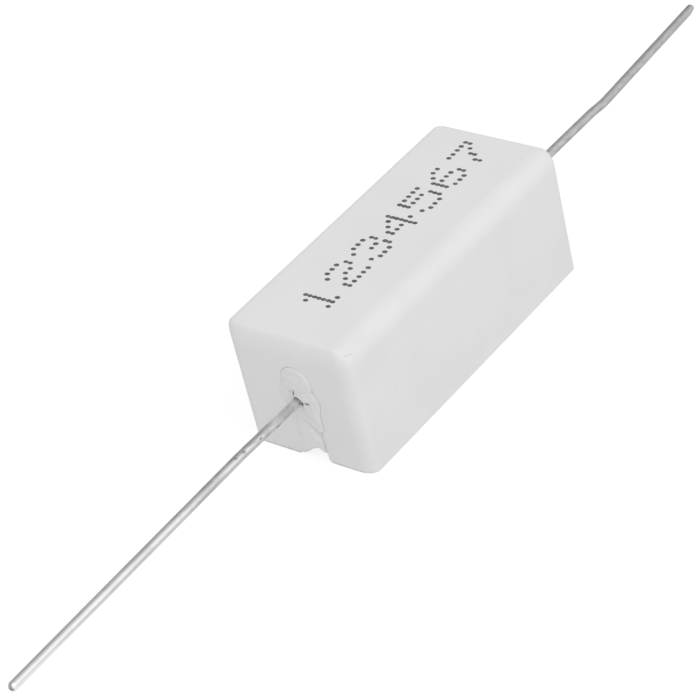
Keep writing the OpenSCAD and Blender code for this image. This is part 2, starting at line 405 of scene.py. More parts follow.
for end in (NEAR, FAR):
    form = bmesh.new()
    depths = [-BEYOND_WALL, 0] + [SLOT_EDGE_R * k / 5 for k in range(1, 6)] + [END_WALL + BEYOND_WALL]
    rings = []
    for depth in depths:
        short = SLOT_EDGE_R - min(max(depth, 0), SLOT_EDGE_R)
        grow = SLOT_EDGE_R - math.sqrt(SLOT_EDGE_R ** 2 - short ** 2)
        rings.append([at_end(end, x, z, -depth) for x, z in slot_outline(grow)])
    loft(form, rings)
    combine(case, new_piece("slot", form), "DIFFERENCE")
print("case with both slots:", len(case.data.polygons), "faces")

# %% [markdown]
# Fired ceramic has a few pinholes where gas came out of the body, and this one lost a crumb from its
# worn corner. They are small, lumpy hollows, so we cut them with lumpy balls that sit on the surface.

# %% Pinholes and the chipped corner
PINHOLES = [(2.2, 5.35, 0.07), (-0.5, 2.6, 0.05), (5.0, 6.5, 0.04), (-7.7, 4.3, 0.06), (3.4, 1.4, 0.05),
            (8.3, 3.1, 0.04)]
CHIP = Vector((half_w - 0.33, -half_l + 0.66, case_h - 0.46))
CHIP_SIZE = (0.06, 0.3, 0.06)
CHIP_RUN = Vector((0.16, 0.49, -0.09))
CHIP_SEED = 20
LUMPS = 0.35


def lumpy_ball(form, centre, size, seed):
    """A ball whose radius wanders, added to a bmesh."""
    ball = bmesh.ops.create_icosphere(form, subdivisions=2, radius=1)["verts"]
    for vertex in ball:
        swell = 1 + LUMPS * noise.noise(vertex.co * 1.7 + Vector((seed, 0, 0)))
        vertex.co = centre + Vector(vertex.co[k] * size[k] * swell for k in range(3))
    return ball


form = bmesh.new()
for count, (y, z, radius) in enumerate(PINHOLES):
    lumpy_ball(form, Vector((half_w, y, z)), (radius, radius * 1.3, radius), count)
chip = lumpy_ball(form, CHIP, CHIP_SIZE, CHIP_SEED)
chip_turn = CHIP_RUN.to_track_quat("Y", "Z").to_matrix()
bmesh.ops.rotate(form, verts=chip, cent=CHIP, matrix=chip_turn)
combine(case, new_piece("pinholes", form), "DIFFERENCE")
print("case with its pinholes:", len(case.data.polygons), "faces")

# %% [markdown]
# The cement was poured into the trough with the element in place, and it fills the trough level with the
# rim. Its underside is the only part that was left free, so it is slightly uneven and pulls up towards
# the walls. We start with a block that clears the trough by a hair, and give its underside that unevenness.

# %% Cement in the trough
SINK = 0.05
WALL_PULL = 0.5
cement_low = [plain_level(0, 0.0), plain_level(0, 0.12), plain_level(0, 0.4)]
cement = soft_block("cement_casting", half_w - SIDE_WALL - CAST_GAP, half_l - END_WALL - CAST_GAP,
                    (TROUGH_R, TROUGH_R, TROUGH_R), trough_levels(CAST_GAP, cement_low), 0.22)
for vertex in cement.data.vertices:
    if vertex.co.z < 0.01:
        to_side = half_w - SIDE_WALL - abs(vertex.co.x)
        to_end = half_l - END_WALL - abs(vertex.co.y)
        pull = math.exp(-min(to_side, to_end) / WALL_PULL)
        ripple = noise.noise(vertex.co / 1.9) + 0.5 * noise.noise(vertex.co / 0.6)
        vertex.co.z = SINK * (1 - pull) * (1 + 0.8 * ripple)
print("cement in the trough:", len(cement.data.polygons), "faces")

# %% [markdown]
# Where the cement fills an end slot it shows as a plug, and this is the most telling part of the photo.
# The face of the plug is bowed and lumpy, stands up in a rim along the arch and dips to a thin dark line
# where it meets the ceramic. A broad furrow runs down from the lead, and the foot curls in to a hollow.
# Such a face is a height field: a grid over the slot's outline, with the height worked out at each point.
# Each side of it has its dip at the ceramic, and a gutter with a depth, a place and a half width.

# %% Face of the cement plugs
PROUD = 0.06
PROUD_FROM = 2.4
PROUD_RISE = 1.8
LEFT_SIDE = (0.08, 0.06, 0.16, 0.13)
RIGHT_SIDE = (0.12, 0.24, 0.05, 0.2)
DIP_WIDTH = 0.11
ARCH_RIM = 0.012
ARCH_RIM_AT = 0.2
ARCH_RIM_HALF = 0.13
PLUG_GAP = 0.005
FOOT_ROUND = 0.2
LOWEST_FOOT = 0.03
FURROW = ((0.14, 3.5), (0.98, 1.95))
FURROW_HALF = 0.24
FURROW_DEPTH = 0.15
HOLLOW_X = 0.56
HOLLOW_H = 0.88
HOLLOW_LEFT = -1.1
HOLLOW_RIGHT = 1.3
VOIDS = [((0.2, 4.08), (0.28, 4.36), 0.12, 0.3), ((0.55, 4.36), (0.85, 4.42), 0.07, 0.12),
         ((-0.22, 4.72), (-0.15, 5.15), 0.06, 0.12), ((-0.46, 5.0), (-0.42, 5.06), 0.06, 0.06),
         ((-0.12, 4.74), (0.26, 4.56), 0.05, 0.12)]


def distance_to_line(x, z, start, stop):
    """The distance of a point from a short line."""
    start = Vector(start)
    run = Vector(stop) - start
    t = min(max((Vector((x, z)) - start).dot(run) / run.length_squared, 0), 1)
    return (Vector((x, z)) - start - run * t).length


def dents(x, z):
    """The depth of the furrow and of the voids beside the lead at a point of the plug's face."""
    depth = FURROW_DEPTH * hump(distance_to_line(x, z, *FURROW), FURROW_HALF)
    for start, stop, half, deep in VOIDS:
        depth += deep * hump(distance_to_line(x, z, start, stop), half)
    return depth


def hollow(x):
    """The height of the plug's lower edge above the rim, before the edge is rounded."""
    if x < HOLLOW_X:
        return HOLLOW_H * smooth((x - HOLLOW_LEFT) / (HOLLOW_X - HOLLOW_LEFT))
    t = min(1, (x - HOLLOW_X) / (HOLLOW_RIGHT - HOLLOW_X))
    return HOLLOW_H * (1 - t * t)


def foot_height(x):
    """The lowest height of the plug's face at a place across the slot."""
    return max(LOWEST_FOOT, hollow(x) - 0.45 * FOOT_ROUND)


def foot_half(x):
    """Half the slot's width at the rim, on the side of its middle where x lies."""
    return RIGHT_FOOT_HALF if x > SLOT_MID else LEFT_FOOT_HALF


def edge_distance(x, z):
    """The distance of a point in the slot from the slot's edge."""
    if z < ARCH_Z:
        return leg(z, foot_half(x)) - abs(x - SLOT_MID)
    return SLOT_HALF - math.hypot(x - SLOT_MID, z - ARCH_Z)


def plug_height(x, z, seed):
    """How far the plug's face stands out of the end wall."""
    edge = max(0, edge_distance(x, z))
    place = Vector((x, z, seed))
    low = 1 - smooth((z - PROUD_FROM) / PROUD_RISE)
    dip, gutter, gutter_at, gutter_half = RIGHT_SIDE if x > SLOT_MID else LEFT_SIDE
    height = PROUD - PROUD * low
    height -= dip * (1 - low) * math.exp(-edge / DIP_WIDTH)
    height -= gutter * low * hump(edge - gutter_at, gutter_half)
    height += ARCH_RIM * hump(edge - ARCH_RIM_AT, ARCH_RIM_HALF) * smooth((z - 4.2) / 1.2)
    height += 0.03 * noise.noise(place / 0.6) + 0.01 * noise.noise(place / 0.17)
    height -= dents(x, z)
    above_foot = min(max(z - foot_height(x), 0), FOOT_ROUND)
    return height - FOOT_ROUND + math.sqrt(FOOT_ROUND ** 2 - (FOOT_ROUND - above_foot) ** 2)


# %% [markdown]
# The grid of the plug has upright columns that start on the curled foot and end on the arch. They are
# drawn together towards both sides, where the arch turns downwards, and the rows are drawn together
# towards the foot and the arch, where the face curves most. The rim of the grid is then carried
# inwards into the poured block, and the two are joined into the one casting that they are.

# %% Bodies of the cement plugs
PLUG_COLUMNS = 48
PLUG_ROWS = 110
ROOT_DEPTHS = (0.62, 0.74, 0.86, 0.98, 1.12, END_WALL, 2.2)
ROOT_FOOT = 0.07
FOOT_REACH = 1.5


def plug_grid(seed):
    """The points of a plug's face, column by column, as (x, z, height, how much of x fills the flare)."""
    columns = []
    for k in range(PLUG_COLUMNS + 1):
        t = 2 * k / PLUG_COLUMNS - 1
        u = 0.5 * t + 0.5 * math.sin(math.pi / 2 * t)
        low = foot_height(SLOT_MID + u * foot_half(SLOT_MID + u))
        high = ARCH_Z + (SLOT_HALF - PLUG_GAP) * math.sqrt(max(0, 1 - u * u))
        column = []
        for m in range(PLUG_ROWS + 1):
            z = low + (high - low) * (0.5 - 0.5 * math.cos(math.pi * m / PLUG_ROWS))
            filled = u * flare(z) if u < 0 else 0
            x = SLOT_MID + u * (leg(z, foot_half(SLOT_MID + u)) - PLUG_GAP) + filled
            column.append((x, z, plug_height(x, z, seed), filled))
        columns.append(column)
    return columns


def plug(end, seed):
    """A closed plug of cement, from its face to its root in the poured block."""
    columns = plug_grid(seed)
    form = bmesh.new()
    face = [[form.verts.new(at_end(end, x, z, out)) for x, z, out, _ in column] for column in columns]
    for left, right in zip(face, face[1:]):
        for m in range(PLUG_ROWS):
            form.faces.new((left[m], right[m], right[m + 1], left[m + 1]))
    rim = [(k, m) for m, k in border(PLUG_ROWS, PLUG_COLUMNS)]
    outer = [face[k][m] for k, m in rim]
    for depth in ROOT_DEPTHS:
        inner = []
        for k, m in rim:
            x, z, out, filled = columns[k][m]
            near_foot = max(0, 1 - (z - columns[k][0][1]) / FOOT_REACH) ** 2
            sunk = smooth(depth / END_WALL) * near_foot
            inner.append(form.verts.new(at_end(end, x - filled, z * (1 - sunk) + ROOT_FOOT * sunk, -depth)))
        bridge(form, outer, inner)
        outer = inner
    form.faces.new(outer)
    return new_piece("plug", form)


for end, seed in ((NEAR, 3.1), (FAR, 8.4)):
    combine(cement, plug(end, seed), "UNION")
print("cement with its plugs:", len(cement.data.polygons), "faces")

# %% [markdown]
# When the lead was pushed into the wet cement, some of it squeezed out round the lead and lay down over
# the plug and a little of the ceramic. This smear is a flat cake with an uneven outline that runs lowest
# down the right edge of the slot, with small voids beside the lead. A cake is best drawn in rings.
# Each lobe of its outline has a size, the direction that it points to and a width, both in degrees.

# %% Smears about the leads
SMEAR_X = 0.16
SMEAR_Z = axis_z + 0.06
SMEAR_R = 1.49
SMEAR_LOBES = [(0.85, -61, 17), (-0.3, -125, 34)]
COLLAR = 0.09
COLLAR_R = 0.6
SMEAR_LIFT = 0.012
SMEAR_THICK = 0.075
SMEAR_RINGS = 30
SMEAR_SIDES = 144


def bearing(angle, towards, width):
    """1 in one direction round the lead, fading to 0 away from it. Both angles are in degrees."""
    away = (math.degrees(angle) - towards + 180) % 360 - 180
    return hump(away, width)


def smear_reach(angle, seed):
    """The smear's radius in a direction."""
    reach = SMEAR_R
    for size, towards, width in SMEAR_LOBES:
        reach += size * bearing(angle, towards, width)
    circle = Vector((math.cos(angle), math.sin(angle), seed))
    return reach + 0.06 * noise.noise(circle * 1.6) + 0.03 * noise.noise(circle * 6)


def smear_height(x, z, angle, share, seed):
    """How far the smear stands out of the end wall, where share is 0 at its middle and 1 at its edge."""
    place = Vector((x, z, seed + 5))
    blunt = 5 - 3 * bearing(angle, -110, 45)
    height = SMEAR_LIFT + SMEAR_THICK * (1 - share ** blunt)
    height += COLLAR * hump(math.hypot(x, z - axis_z), COLLAR_R)
    inside = 1 - share ** 4
    height += (0.03 * noise.noise(place / 0.45) + 0.012 * noise.noise(place / 0.15)) * inside
    height -= dents(x, z) * inside
    return max(height, SMEAR_LIFT + 0.004)


def smear(end, seed):
    """A closed cake of cement round a lead."""
    form = bmesh.new()
    fronts = []
    for k in range(1, SMEAR_RINGS + 1):
        share = k / SMEAR_RINGS
        ring = []
        for angle in circle(SMEAR_SIDES):
            radius = share * smear_reach(angle, seed)
            x = SMEAR_X + radius * math.cos(angle)
            z = SMEAR_Z + radius * math.sin(angle)
            ring.append(at_end(end, x, z, smear_height(x, z, angle, share, seed)))
        fronts.append(ring)
    back = [point.copy() for point in fronts[-1]]
    for point in back:
        point.y = end * (half_l + SMEAR_LIFT)
    loft(form, fronts + [back])
    return new_piece("smear", form)


for end, seed in ((NEAR, 1.7), (FAR, 6.2)):
    combine(cement, smear(end, seed), "UNION")
print("cement with its smears:", len(cement.data.polygons), "faces")

# %% [markdown]
# The element lies inside the cement, so the casting has a room of its shape. The room is turned like a
# bead on a lathe: a list of stations along the axis, each with a radius, skinned into one closed mesh.

# %% Room for the element
LEAD_R = 0.3
WELD_H = 0.35
winding_r = corners("resistance_winding")[1].x
cap_low, cap_high = corners("end_cap_far")
weld_r = corners("lead_far")[1].x


def lathe(name, profile, sides):
    """Turns a profile of (place along the axis, radius) about the axis of the leads."""
    form = bmesh.new()
    loft(form, [[(r * math.cos(a), y, axis_z + r * math.sin(a)) for a in circle(sides)] for y, r in profile])
    return new_piece(name, form)


half_room = [
    (cap_low.y - CAST_GAP, winding_r + CAST_GAP),
    (cap_low.y - CAST_GAP, cap_high.x + CAST_GAP),
    (cap_high.y + CAST_GAP, cap_high.x + CAST_GAP),
    (cap_high.y + CAST_GAP, weld_r + CAST_GAP),
    (cap_high.y + WELD_H + CAST_GAP, LEAD_R + CAST_GAP),
    (half_l + 1, LEAD_R + CAST_GAP),
]
room = [(-y, r) for y, r in reversed(half_room)] + half_room
combine(cement, lathe("room", room, 64), "DIFFERENCE")
print("cement with the element's room:", len(cement.data.polygons), "faces")

# %% [markdown]
# A few air bubbles broke open on the free underside of the cement. They are cut like the pinholes.
# A golden angle spreads them without a pattern, and the same way at every run.

# %% Bubbles in the underside
BUBBLES = 26
GOLDEN = 0.6180339887
KEPT_CLEAR = 0.5
form = bmesh.new()
for count in range(1, BUBBLES + 1):
    x = (2 * (count * GOLDEN % 1) - 1) * (half_w - SIDE_WALL - KEPT_CLEAR)
    y = (2 * (count / (BUBBLES + 1)) - 1) * (half_l - END_WALL - KEPT_CLEAR)
    radius = 0.08 + 0.14 * (count * GOLDEN * 3 % 1) ** 2
    lumpy_ball(form, Vector((x, y, 0.03)), (radius, radius, radius * 0.7), count)
combine(cement, new_piece("bubbles", form), "DIFFERENCE")
print("finished cement:", len(cement.data.polygons), "faces")

# %% [markdown]
# A lead is a round wire with a soft, dipped coat of tin. It starts at the small weld on its cap, runs
# straight out of the cement and then bends a little, as handling left it. A path is a list of straight
# runs and bends, all in the upright plane through the axis, and a turtle walks it and drops a ring of
# points at each step.

# %% Paths of the leads
RING_STEP = 0.14
GENTLE_R = 25
KINK_R = 6
ONWARDS = ("run", 100)
near_tip = -corners("lead_near")[0].y
far_tip = corners("lead_far")[1].y
BURIED = half_l - cap_high.y
near_path = [("run", BURIED + 0.6), ("bend", 1.1, GENTLE_R), ("run", 4.1), ("bend", -2, GENTLE_R)]
far_path = [("run", BURIED + 0.8), ("bend", -0.5, GENTLE_R), ("run", 8.7), ("bend", -4.3, KINK_R),
            ("run", 0.9), ("bend", 7.8, KINK_R)]


def walk(path, start, stop):
    """Walks a path outwards. Returns (distance out, height, heading, length so far) at each step."""
    y = start
    z = axis_z
    heading = 0.0
    length = 0.0
    steps = [(y, z, heading, length)]
    for move in path + [ONWARDS]:
        turn = math.radians(move[1]) if move[0] == "bend" else 0
        span = abs(turn) * move[2] if turn else move[1]
        if move == path[-1] or not turn:
            span = min(span, (stop - y) / math.cos(heading))
        count = max(1, round(span / RING_STEP))
        for _ in range(count):
            middle = heading + turn / count / 2
            y += span / count * math.cos(middle)
            z += span / count * math.sin(middle)
            heading += turn / count
            length += span / count
            steps.append((y, z, heading, length))
    return steps


TIP_ROUND = LEAD_R
SNIP_ROUND = 0.15
SNIP_SPARE = 0.03
near_steps = walk(near_path, cap_high.y, near_tip - TIP_ROUND)
far_steps = walk(far_path, cap_high.y, far_tip - SNIP_ROUND - SNIP_SPARE)
print(f"near lead {near_steps[-1][3]:.1f} mm, far lead {far_steps[-1][3]:.1f} mm")

# %% [markdown]
# The tin is never quite even: it has long, shallow ripples, and near the case it is knocked about where
# the lead was held while the cement was poured. On so bright a wire the reflections show the slightest
# dent, so these are in the mesh. The near tip is rounded by its tin. The far one was snipped off almost
# square, and the jaws pinched its lower side, so it tapers there over its last stretch.

# %% Meshes of the leads
LEAD_SIDES = 40
TIP_STEPS = 9
PINCH_LENGTH = 0.45
PINCH = 0.24
PINCH_AT = math.radians(224)
RIPPLE = 0.008
RIPPLE_LENGTH = 3.2
KNOCKS = 0.024
KNOCKED_TO = 3
KNOCKED_FADE = 4.5


def tin_ripple(length, angle, seed, rough):
    """The unevenness of the tin coat, as a share of the radius."""
    place = Vector((math.cos(angle) * 0.8, math.sin(angle) * 0.8, length / RIPPLE_LENGTH + seed))
    knocked = rough * math.exp(-max(0, length - KNOCKED_TO) / KNOCKED_FADE)
    bumps = noise.noise(place * 2.6) + 0.6 * noise.noise(place * 6.1)
    return RIPPLE * noise.noise(place) + KNOCKS * knocked * bumps


def lead(name, end, steps, seed, rough, tip_round, pinch):
    """A lead swept along its steps, from its weld to its tip."""
    form = bmesh.new()
    rings = []
    whole = steps[-1][3]

    def ring(step, radius, ahead):
        y, z, heading, length = step
        pinched = pinch * smooth(1 - (whole - length) / PINCH_LENGTH)
        points = []
        for angle in circle(LEAD_SIDES):
            r = radius * (1 + tin_ripple(length, angle, seed, rough))
            r *= 1 - pinched * max(0, math.cos(angle - PINCH_AT)) ** 1.5
            up = r * math.sin(angle)
            side = r * math.cos(angle)
            out = y + ahead * math.cos(heading) - up * math.sin(heading)
            points.append((-end * side, end * out, z + ahead * math.sin(heading) + up * math.cos(heading)))
        return points

    for step in steps:
        weld = max(0, 1 - step[3] / WELD_H)
        rings.append(ring(step, LEAD_R + (weld_r - LEAD_R) * weld ** 1.5, 0))
    for k in range(1, TIP_STEPS + 1):
        a = math.pi / 2 * k / (TIP_STEPS + 0.5)
        rings.append(ring(steps[-1], LEAD_R - tip_round * (1 - math.cos(a)), tip_round * math.sin(a)))
    loft(form, rings)
    return new_piece(name, form)


near_lead = lead("bright_near_lead", NEAR, near_steps, 2.0, 1.0, TIP_ROUND, 0.0)
far_lead = lead("dull_far_lead", FAR, far_steps, 11.0, 0.35, SNIP_ROUND, PINCH)
print("lead meshes:", len(near_lead.data.polygons), "and", len(far_lead.data.polygons), "faces")

# %% [markdown]
# The marked face carries one line of printing, laid down by an ink-jet coder as rows of small dots.
# Here the line simply counts from one to seven, in the coder's plain figures.
# Each figure is a little drawing of five columns and seven rows, read as text below.

# %% Figures of the ink-jet coder
FIGURES = {
    "1": ["..#..", ".##..", "..#..", "..#..", "..#..", "..#..", ".###."],
    "2": [".###.", "#...#", "....#", "..##.", ".#...", "#....", "#####"],
    "3": [".###.", "#...#", "....#", "..##.", "....#", "#...#", ".###."],
    "4": ["...#.", "..##.", ".#.#.", "#..#.", "#####", "...#.", "...#."],
    "5": ["#####", "#....", "####.", "....#", "....#", "#...#", ".###."],
    "6": ["..##.", ".#...", "#....", "####.", "#...#", "#...#", ".###."],
    "7": ["#####", "....#", "...#.", "..#..", "..#..", ".#...", ".#..."],
}
LINE_START = -8.1
FIGURE_PITCH = 2.67
COLUMN_PITCH = 0.47
ROW_PITCH = 0.34
LINE_TOP = -1.32
DOT_ALONG = 0.142
DOT_ACROSS = 0.185
INK_SUNK = 0.03
INK_PROUD = 0.012


def figure_dots():
    """The place of every dot, as (row, x, y) on the marked face. The figures stand with their tops to -X."""
    for count, figure in enumerate(sorted(FIGURES)):
        for row, line in enumerate(FIGURES[figure]):
            for column, mark in enumerate(line):
                if mark == "#":
                    x = LINE_TOP + row * ROW_PITCH
                    y = LINE_START + count * FIGURE_PITCH + column * COLUMN_PITCH
                    yield row, x, y


dots = list(figure_dots())
print(len(dots), "dots of ink")

# %% [markdown]
# A dot of ink is a low dome with an uneven outline. Dots in one stroke run into each other, so the odd
# rows and the even rows are made as two meshes whose dots don't touch, and joined. That gives one clean
# skin over each stroke, with no faces hidden inside. The drift of each dot has a fixed seed, because
# Blender takes that noise from the clock otherwise, and the line would change at every run.

# %% Ink dots
DOT_SIDES = 18
DOT_SEED = 7
DRIFT = 0.03
DOME = [(1.0, -INK_SUNK), (1.0, 0.002), (0.9, 0.65 * INK_PROUD), (0.6, INK_PROUD), (0.2, INK_PROUD)]


def dot_rows(name, parity):
    """All dots in the even rows or in the odd rows, as one mesh of closed domes."""
    form = bmesh.new()
    for row, x, y in dots:
        if row % 2 != parity:
            continue
        place = Vector((x, y, 0))
        shift = DRIFT * noise.noise_vector(place * 3)
        size = 1 + 0.12 * noise.noise(place * 5.3)
        base = case_h + wander(Vector((x, y, case_h)))
        rings = []
        for share, lift in DOME:
            ring = []
            for angle in circle(DOT_SIDES):
                turn = Vector((math.cos(angle), math.sin(angle), 0))
                ragged = 1 + 0.1 * noise.noise(place * 4 + turn * 1.4)
                across = DOT_ACROSS * size * ragged * share * turn.x
                along = DOT_ALONG * size * ragged * share * turn.y
                ring.append((x + shift.x + across, y + shift.y + along, min(base + lift, case_h)))
            rings.append(ring)
        loft(form, rings)
    return new_piece(name, form)


noise.seed_set(DOT_SEED)
marking = dot_rows("ink_marking", 0)
combine(marking, dot_rows("odd_rows", 1), "UNION")
print("ink marking:", len(marking.data.polygons), "faces")

# %% [markdown]
# The meshes are done, so each piece shrinks to metres, gets smooth shading with its sharp edges kept,
# rides on the part's one body and hides the node of the solid model that it stands for.

# %% Fitting the pieces to the frame
SHARP = math.radians(38)
FITTED = [
    (case, "ceramic_case", "case_ceramic"),
    (cement, "cement_fill", "cement"),
    (near_lead, "lead_near", "lead_bright"),
    (far_lead, "lead_far", "lead_dull"),
    (marking, None, "marking_ink"),
]
for piece, node, slot in FITTED:
    piece.data.transform(Matrix.Scale(MM, 4))
    piece.data.shade_smooth()
    piece.data.set_sharp_from_angle(angle=SHARP)
    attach(piece, "root")
    if node:
        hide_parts(node)
    print(piece.name, len(piece.data.polygons), "faces")

# %% [markdown]
# Now the finishes. Several of them share the same few effects, so we build those once, as node groups
# with named inputs: a grain, a mottle, a fade along the leads and a dark spot. Each group measures in
# millimetres on the piece itself, and gives out only a mask or a height that the material then uses.
# These helpers add a node whose inputs may be numbers or other nodes' outputs, and do the usual sums.

# %% Helpers for node trees
def feed(tree, value, place):
    """Gives an input a value, or links it to the output that it follows."""
    if isinstance(value, bpy.types.NodeSocket):
        tree.links.new(value, place)
    else:
        place.default_value = value


def add(tree, kind, inputs=(), **settings):
    """A node of a kind, with some of its settings, and with what some of its inputs are fed."""
    node = tree.nodes.new(kind)
    for key, value in settings.items():
        setattr(node, key, value)
    for key, value in dict(inputs).items():
        feed(tree, value, node.inputs[key])
    return node


def new_group(name, inputs, outputs):
    """An empty node group. Returns it with the values that it is given and those that it gives."""
    group = bpy.data.node_groups.new(name, "ShaderNodeTree")
    for label, default in inputs.items():
        kind = "NodeSocketVector" if isinstance(default, tuple) else "NodeSocketFloat"
        socket = group.interface.new_socket(name=label, in_out="INPUT", socket_type=kind)
        socket.default_value = default
    for label in outputs:
        group.interface.new_socket(name=label, in_out="OUTPUT", socket_type="NodeSocketFloat")
    return group, group.nodes.new("NodeGroupInput").outputs, group.nodes.new("NodeGroupOutput").inputs


def math_node(tree, operation, first, second=0.0):
    """A sum of two numbers."""
    return add(tree, "ShaderNodeMath", {0: first, 1: second}, operation=operation).outputs[0]


def vector_node(tree, operation, first, second=(0, 0, 0)):
    """A sum of two vectors. Its outputs are the vector and the value."""
    return add(tree, "ShaderNodeVectorMath", {0: first, 1: second}, operation=operation).outputs


def millimetres(tree):
    """The place on the piece, in millimetres."""
    where = add(tree, "ShaderNodeTexCoord").outputs["Object"]
    return add(tree, "ShaderNodeVectorMath", {0: where, "Scale": 1 / MM}, operation="SCALE").outputs[0]


def apart(tree, place):
    """The X, Y and Z of a place."""
    return add(tree, "ShaderNodeSeparateXYZ", {0: place}).outputs


def together(tree, x, y, z):
    """The place with this X, Y and Z."""
    return add(tree, "ShaderNodeCombineXYZ", {"X": x, "Y": y, "Z": z}).outputs[0]


def ease(tree, value, zero_at, one_at):
    """A mask that eases from 0, where the value is zero_at, to 1, where it is one_at."""
    limits = {"Value": value, "From Min": zero_at, "From Max": one_at}
    return add(tree, "ShaderNodeMapRange", limits, interpolation_type="SMOOTHSTEP").outputs["Result"]


def blend_colours(tree, mask, first, second):
    """A colour between two."""
    colours = {"Factor": mask, 6: first, 7: second}
    return add(tree, "ShaderNodeMix", colours, data_type="RGBA").outputs[2]


def mix_shaders(tree, mask, first, second):
    """A shader between two."""
    return add(tree, "ShaderNodeMixShader", {"Fac": mask, 1: first, 2: second}).outputs[0]


def grey(level):
    """An opaque neutral colour."""
    return (level, level, level, 1)


# %% [markdown]
# Grain is the fine unevenness of a fired or cast body, with a few open pits between the grains. Noise
# gives the height, and the middles of scattered cells give the pits.

# %% Group: grain
CELLS_PER_GRAIN = 0.45
grain, given, result = new_group("grain", {"Size": 0.2, "Roughness": 0.6}, ["Height", "Pits"])
place = millimetres(grain)
per_mm = math_node(grain, "DIVIDE", 1.0, given["Size"])
grains = {"Vector": place, "Scale": per_mm, "Detail": 3, "Roughness": given["Roughness"]}
fine = add(grain, "ShaderNodeTexNoise", grains)
cells_per_mm = math_node(grain, "MULTIPLY", per_mm, CELLS_PER_GRAIN)
cells = add(grain, "ShaderNodeTexVoronoi", {"Vector": place, "Scale": cells_per_mm})
feed(grain, fine.outputs["Fac"], result["Height"])
feed(grain, ease(grain, cells.outputs["Distance"], 0.16, 0.02), result["Pits"])
print("group", grain.name)

# %% [markdown]
# Mottle is a cloudy mask, for colour and gloss that change slowly over a surface. It can be stretched
# along the part, because the skin of a drawn and dipped wire runs lengthwise.

# %% Group: mottle
mottle, given, result = new_group("mottle", {"Size": 2.0, "Low": 0.4, "High": 0.6, "Stretch": 1.0}, ["Mask"])
parts = apart(mottle, millimetres(mottle))
along = math_node(mottle, "DIVIDE", parts["Y"], given["Stretch"])
stretched = together(mottle, parts["X"], along, parts["Z"])
per_mm = math_node(mottle, "DIVIDE", 1.0, given["Size"])
clouds = add(mottle, "ShaderNodeTexNoise", {"Vector": stretched, "Scale": per_mm, "Detail": 4})
feed(mottle, ease(mottle, clouds.outputs["Fac"], given["Low"], given["High"]), result["Mask"])
print("group", mottle.name)

# %% [markdown]
# The leads are dirtier near the case than at their tips. This mask is 1 at one distance from the middle
# of the part and fades to 0 at another, at both ends alike. The sheet below uses it for a painted shadow in
# its reflection.

# %% Group: near the case
near_case, given, result = new_group("near_case", {"From": 11.0, "To": 18.0}, ["Mask"])
outwards = math_node(near_case, "ABSOLUTE", apart(near_case, millimetres(near_case))["Y"])
feed(near_case, ease(near_case, outwards, given["To"], given["From"]), result["Mask"])
print("group", near_case.name)

# %% [markdown]
# A dark spot has a ragged edge. It lays flecks of dirt on a lead, painted shade in the voids of the cement
# and along the case's foot, and a painted dark reflection on a lead's tip.
# Each is placed by its centre and its reach, seen from its own end, so the far end has it turned half
# round. Dividing the way from the centre by the reach turns any spot into a ball of radius 1.

# %% Group: dark spot
dark_spot, given, result = new_group("dark_spot", {"Centre": (0, 0, 0), "Reach": (0.2, 0.2, 0.2)}, ["Mask"])
place = millimetres(dark_spot)
parts = apart(dark_spot, place)
own_end = math_node(dark_spot, "MULTIPLY", math_node(dark_spot, "SIGN", parts["Y"]), -1.0)
x = math_node(dark_spot, "MULTIPLY", parts["X"], own_end)
y = math_node(dark_spot, "MULTIPLY", parts["Y"], own_end)
away = vector_node(dark_spot, "SUBTRACT", together(dark_spot, x, y, parts["Z"]), given["Centre"])[0]
radius = vector_node(dark_spot, "LENGTH", vector_node(dark_spot, "DIVIDE", away, given["Reach"])[0])["Value"]
ragged = add(dark_spot, "ShaderNodeTexNoise", {"Vector": place, "Scale": 7})
edge = math_node(dark_spot, "ADD", radius, ragged.outputs["Fac"])
feed(dark_spot, ease(dark_spot, edge, 1.45, 0.75), result["Mask"])
print("group", dark_spot.name)

# %% [markdown]
# These helpers start a material, place a group in it with its own values, lay dark spots over a colour, and
# feed the shader what every finish here has: a colour, a roughness that varies and a relief.

# %% Helpers for materials
def new_material(name, roughness, metallic=0.0):
    """A material with its Principled shader. Returns the material's tree and the shader."""
    material = bpy.data.materials.new(name)
    material.use_nodes = True
    shader = material.node_tree.nodes["Principled BSDF"]
    shader.inputs["Roughness"].default_value = roughness
    shader.inputs["Metallic"].default_value = metallic
    return material, material.node_tree, shader


def use_group(tree, group, **values):
    """Places a group in a tree with its own values. Returns what it gives."""
    return add(tree, "ShaderNodeGroup", values, node_tree=group).outputs


def add_dark_spots(tree, body, stains):
    """Lays dark spots over a colour: stains, painted shade and painted reflections. Each spot is a centre, a
    reach and a grey level.
    """
    for centre, reach, level in stains:
        mask = use_group(tree, dark_spot, Centre=centre, Reach=reach)["Mask"]
        body = blend_colours(tree, mask, body, grey(level))
    return body


def dress(tree, shader, body, mask, roughness, surface, depth):
    """Feeds the shader a colour, a roughness that follows a mask, and a grain this many millimetres deep."""
    rough = add(tree, "ShaderNodeMapRange", {"Value": mask, "To Min": roughness[0], "To Max": roughness[1]})
    bumps = {"Strength": 1.0, "Distance": depth * MM, "Height": surface["Height"]}
    relief = add(tree, "ShaderNodeBump", bumps)
    feed(tree, body, shader.inputs["Base Color"])
    feed(tree, rough.outputs["Result"], shader.inputs["Roughness"])
    feed(tree, relief.outputs["Normal"], shader.inputs["Normal"])


def coat(mesh, material):
    """Gives a mesh one material and nothing else."""
    mesh.materials.clear()
    mesh.materials.append(material)
    print("finish:", material.name)


# %% [markdown]
# The ceramic of the case is white, dense and unglazed, with a faint sheen from the die. Its colour
# hardly changes, but a close look finds clouds a little darker, a fine grain and stray dark specks.
# A thin dark line is painted along the foot of each end: painted contact shade where it meets the sheet.

# %% White case ceramic
# Painted contact shade along the foot of each end, as a centre, a reach and a grey level.
FOOT_CONTACT_SHADE = ((0.0, -11.25, 0.0), (9.0, 0.4, 0.19), 0.5)


